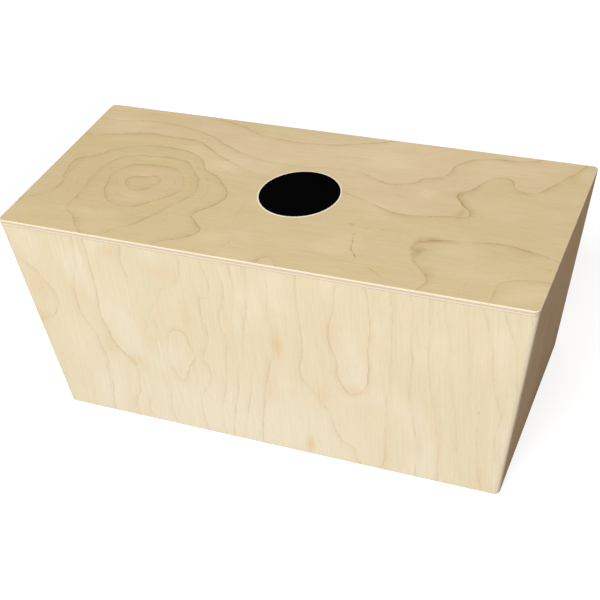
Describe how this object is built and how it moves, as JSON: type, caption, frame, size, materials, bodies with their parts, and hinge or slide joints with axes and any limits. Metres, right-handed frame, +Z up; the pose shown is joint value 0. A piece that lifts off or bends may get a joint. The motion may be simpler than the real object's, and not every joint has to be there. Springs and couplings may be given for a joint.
{
  "type": "bongo cajon",
  "caption": "Tapered wooden box drum with one playing plate over two air chambers, sound ports at the back, made to be held between the knees.",
  "frame": {"origin": "middle of the underside, on the surface that the box stands on", "axes": "+X along the long side, +Y from the front towards the back with the sound ports, +Z up through the playing plate"},
  "size_m": [0.3998, 0.176, 0.17],
  "materials": {
    "birch_top": "satin",
    "birch_wall": "satin",
    "birch_inner": "matt",
    "softwood": "matt"
  },
  "bodies": {
    "root": {"playing_plate": "birch_top", "front_panel": "birch_wall", "back_panel": "birch_wall", "left_side_panel": "birch_wall", "right_side_panel": "birch_wall", "bottom_panel": "birch_inner", "partition": "birch_inner", "corner_block_front_left": "softwood", "corner_block_front_right": "softwood", "corner_block_back_left": "softwood", "corner_block_back_right": "softwood", "bottom_batten_front_low": "softwood", "bottom_batten_front_high": "softwood", "bottom_batten_back_low": "softwood", "bottom_batten_back_high": "softwood", "bottom_batten_side_low": "softwood", "bottom_batten_side_high": "softwood"}
  },
  "joints": []
}
